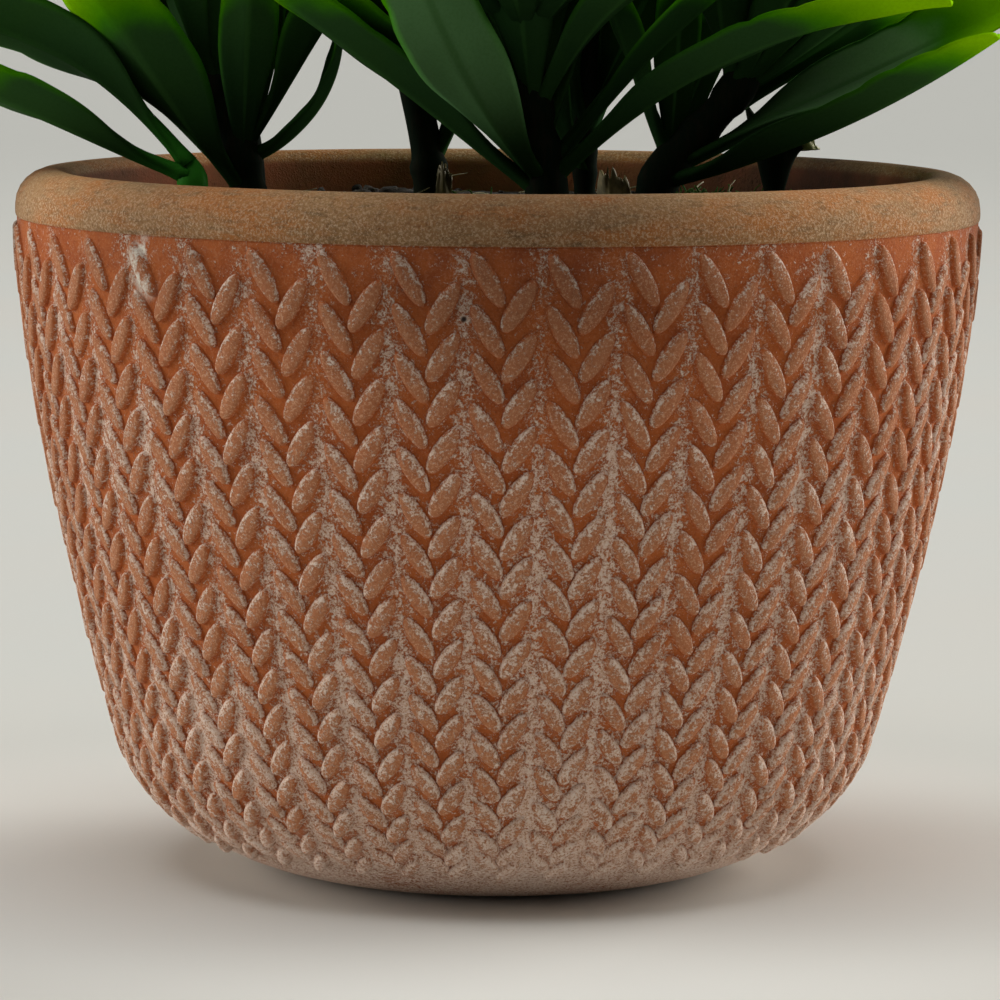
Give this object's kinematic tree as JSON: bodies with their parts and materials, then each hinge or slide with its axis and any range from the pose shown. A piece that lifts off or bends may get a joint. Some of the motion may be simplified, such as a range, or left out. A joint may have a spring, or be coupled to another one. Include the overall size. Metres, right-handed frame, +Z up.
{
  "type": "potted hoya",
  "caption": "Houseplant with upright leafy stems and narrow strap-shaped leaves in tiers, standing in soil in a tapered terracotta pot with a moulded braid pattern.",
  "frame": {"origin": "middle of the pot's underside, on the surface that the pot stands on", "axes": "+Z up along the pot's axis, -Y towards the camera of the picture, +X to the right in the picture"},
  "size_m": [0.2261, 0.1938, 0.2393],
  "materials": {
    "terracotta": "unglazed fired clay, matte, with pale lime wash in the relief",
    "soil": "damp potting soil, matte",
    "leaf": "waxy leaf, satin",
    "dry_husk": "dry papery husk, matte"
  },
  "bodies": {
    "root": {"pot": "terracotta", "soil": "soil", "leafy_stem_left": "leaf", "leafy_stem_side_shoot": "leaf", "leafy_stem_centre": "leaf", "leafy_stem_right": "leaf", "leafy_stem_middle": "leaf", "leafy_stem_back_left": "leaf", "leafy_stem_back_right": "leaf", "leafy_stem_left_back": "leaf", "cut_shoot": "leaf", "husk_left": "dry_husk", "husk_right": "dry_husk"}
  },
  "joints": []
}
